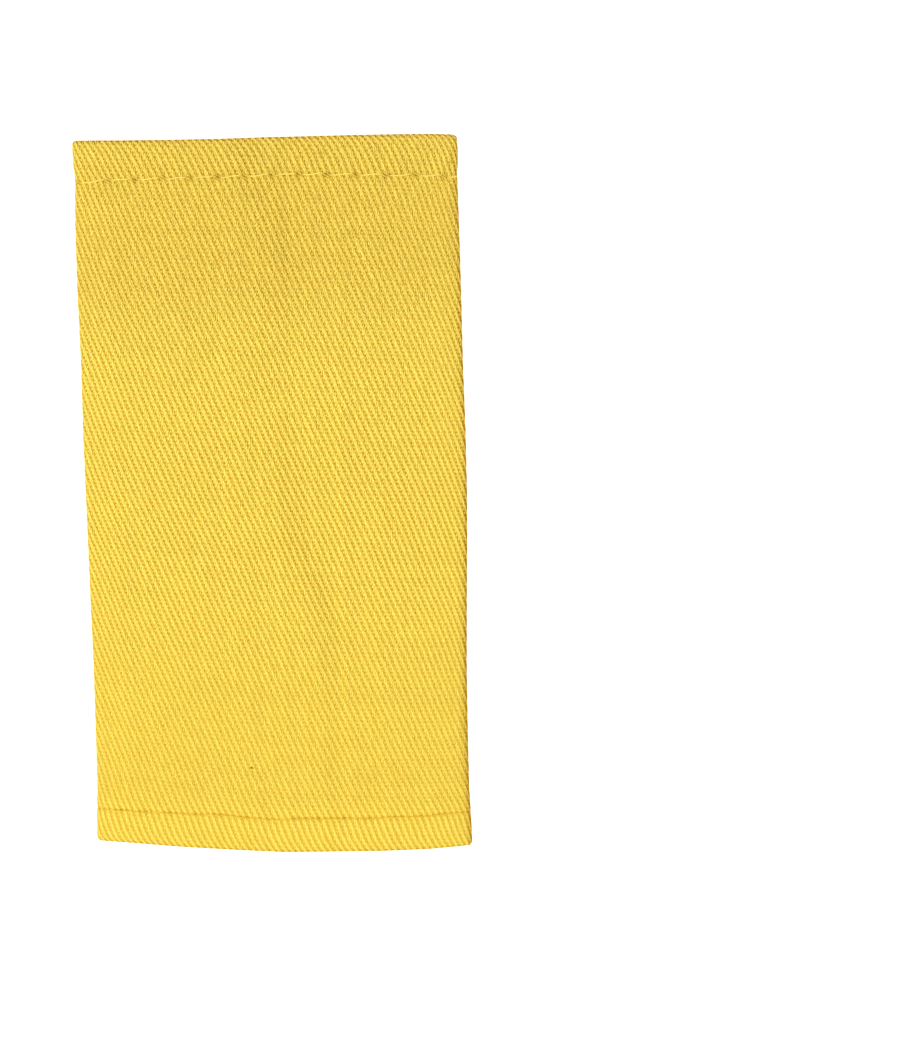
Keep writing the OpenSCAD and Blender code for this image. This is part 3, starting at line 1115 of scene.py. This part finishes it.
def make_strip():
    """The strip as a flat bar with rounded edges, a little uneven, and closed at both ends."""
    angle = np.linspace(0, 2 * np.pi, STRIP_SIDES, endpoint=False)
    wide, tall = squared(np.cos(angle), 0.35), squared(np.sin(angle), 0.5)
    wobble = waves(6, 4, 14, 0.08)
    points, faces, uvs = [], [], []
    for y in spaced(STRIP_FROM, STRIP_TO, 0.5):
        x = allowance_x(y / LENGTH + 0.5) + wide * (ALLOWANCE_W / 2 + wobble(y, 0))
        z = STRIP_FLOOR + (tall + 1) * (STRIP_T / 2 + 0.6 * wobble(y, wide * ALLOWANCE_W / 2))
        points.append(np.column_stack([x, y + 0.5 * wobble(wide * 3, y), z]))
    for r in range(len(points) - 1):
        for c in range(STRIP_SIDES):
            d = (c + 1) % STRIP_SIDES
            corners = [(r, d), (r, c), (r + 1, c), (r + 1, d)]
            faces.append([row * STRIP_SIDES + column for row, column in corners])
            for row, column in corners:
                x, y, _ = points[row][column]
                uvs.append(((x + RIB_SLOPE * y) / RIB_PITCH, y / WEFT_PITCH))
    faces.append(list(range(STRIP_SIDES)))
    faces.append([(len(points) - 1) * STRIP_SIDES + c for c in range(STRIP_SIDES)][::-1])
    uvs.extend([(0.0, 0.0)] * 2 * STRIP_SIDES)
    return mesh_object("overlocked_edge", np.concatenate(points), faces, [twill_back], None, uvs)


def overlock_stitch(y):
    """Threads of one stitch: out over the strip's free edge, back over it, and the needle thread."""
    v = y / LENGTH + 0.5
    side = 1 if v < CHANGE_V else -1
    edge = allowance_x(v) + side * (ALLOWANCE_W / 2 + 0.08)
    needle = allowance_x(v) + side * (ALLOWANCE_W / 2 - OVERLOCK_REACH)
    half_way = mix(needle, edge, 0.5)
    low, top = STRIP_FLOOR + 0.25, STRIP_FLOOR + STRIP_T
    drift = rng.normal(0, 0.07, 4)
    turn_y = y + 0.5 * OVERLOCK_PITCH + drift[1]
    out = [
        [needle, y, top + 0.02],
        [half_way, y + 0.38 * OVERLOCK_PITCH + drift[0], top + 0.14],
        [edge, turn_y, top - 0.15],
        [edge + side * 0.04, turn_y, low],
    ]
    back = [
        [edge + side * 0.04, turn_y + 0.12, low],
        [edge, turn_y + 0.12, top - 0.15],
        [half_way, y + 0.62 * OVERLOCK_PITCH + drift[2], top + 0.14],
        [needle, y + OVERLOCK_PITCH, top + 0.02],
    ]
    sewn = [
        [needle, y - 0.1, top - 0.02],
        [needle + drift[3], y + OVERLOCK_PITCH / 2, top + 0.16],
        [needle, y + OVERLOCK_PITCH + 0.1, top - 0.02],
    ]
    return [tube(smooth(line), radius, 6) for line, radius in ((out, 0.09), (back, 0.09), (sewn, 0.11))]


def make_overlock():
    """Loops of thread over the strip's free edge, and the needle thread along its other side."""
    tubes = []
    for y in np.arange(STRIP_FROM + 0.6, STRIP_TO - 0.6, OVERLOCK_PITCH):
        tubes += overlock_stitch(y)
    return joined("overlock_threads", tubes, top_thread)


sleeve = make_sleeve()
top_stitches = make_stitches("top_hem_stitches", TOP, top_thread)
bottom_stitches = make_stitches("bottom_hem_stitches", BOTTOM, bottom_thread)
fibres = make_fibres()
strip = make_strip()
overlock = make_overlock()

pieces = [sleeve, top_stitches, bottom_stitches, fibres, strip, overlock]
for piece in pieces:
    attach(piece, "root")
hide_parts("sleeve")
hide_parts("seam_allowance")


# Floor and lights


FLOOR_HALF = 1500


def make_floor():
    """White paper, bright enough to stay white."""
    n = Nodes("floor")
    n.set(n.shader, {"Base Color": (0.95, 0.95, 0.95, 1), "Roughness": 0.9, "Specular IOR Level": 0.1})
    n.set(n.shader, {"Emission Color": (1, 1, 1, 1), "Emission Strength": 0.42})
    corners = [[FLOOR_HALF * x, FLOOR_HALF * y, 0] for x, y in ((-1, -1), (1, -1), (1, 1), (-1, 1))]
    floor = mesh_object("floor", corners, [[0, 1, 2, 3]], [n.material])


make_floor()

scene = bpy.context.scene
scene.view_settings.view_transform = "Standard"


def make_dome():
    """Even white light from all round."""
    world = bpy.data.worlds.new("dome")
    scene.world = world
    world.use_nodes = True
    background = world.node_tree.nodes["Background"]
    background.inputs["Color"].default_value = (1, 1, 1, 1)
    background.inputs["Strength"].default_value = 1.12


def aimed(name, light, where, target):
    """A light placed at one point and turned towards another."""
    made = bpy.data.objects.new(name, light)
    made.location = where
    made.rotation_euler = Vector(np.subtract(target, where)).to_track_quat("-Z", "Y").to_euler()
    scene.collection.objects.link(made)


def make_key():
    """Large soft light from the lower left, high up."""
    light = bpy.data.lights.new("key", "AREA")
    light.shape = "DISK"
    light.size = 0.9
    light.energy = 4.0
    aimed("key", light, (-0.70, -0.62, 1.10), (0, 0, 0))


def make_band():
    """Pool of light whose soft upper edge crosses the sleeve a little below its top."""
    edge_y, slope, reach, height = 0.0375, 0.049, 0.45, 0.9
    x, y = slope * reach, edge_y - reach
    light = bpy.data.lights.new("band", "SPOT")
    light.spot_size = 2 * math.atan(reach / height)
    light.spot_blend = 0.05
    light.shadow_soft_size = 0.002
    light.energy = 5.2
    light.color = (0.6, 1.0, 1.0)
    aimed("band", light, (x, y, height), (x, y, 0))


make_dome()
make_key()
make_band()


# Camera

# The photograph's frame: pixels, size of a pixel, where the sleeve's middle is, and its lean
PHOTO_W, PHOTO_H = 898, 1043
PIXEL = 0.1422
MIDDLE_PX = (274.5, 494.1)
LEAN_DEG = 1.68

# Height of the camera in metres, and of the sleeve's outline over the floor
CAMERA_H = 1.6
OUTLINE_Z = 4.0


def make_camera():
    """A camera straight above, turned and placed so that the sleeve lies where it does in the photograph."""
    roll = math.radians(LEAN_DEG)
    right = np.array([math.cos(roll), -math.sin(roll)])
    up = np.array([math.sin(roll), math.cos(roll)])
    aim = ((PHOTO_W / 2 - MIDDLE_PX[0]) * right - (PHOTO_H / 2 - MIDDLE_PX[1]) * up) * PIXEL * MM
    data = bpy.data.cameras.new("camera")
    camera = bpy.data.objects.new("camera", data)
    scene.collection.objects.link(camera)
    camera.location = (aim[0], aim[1], CAMERA_H)
    camera.rotation_euler = (0, 0, -roll)
    data.sensor_width = 36
    data.lens = data.sensor_width * (CAMERA_H - OUTLINE_Z * MM) / (PHOTO_H * PIXEL * MM)
    data.clip_start, data.clip_end = 0.01, 10
    scene.camera = camera


make_camera()
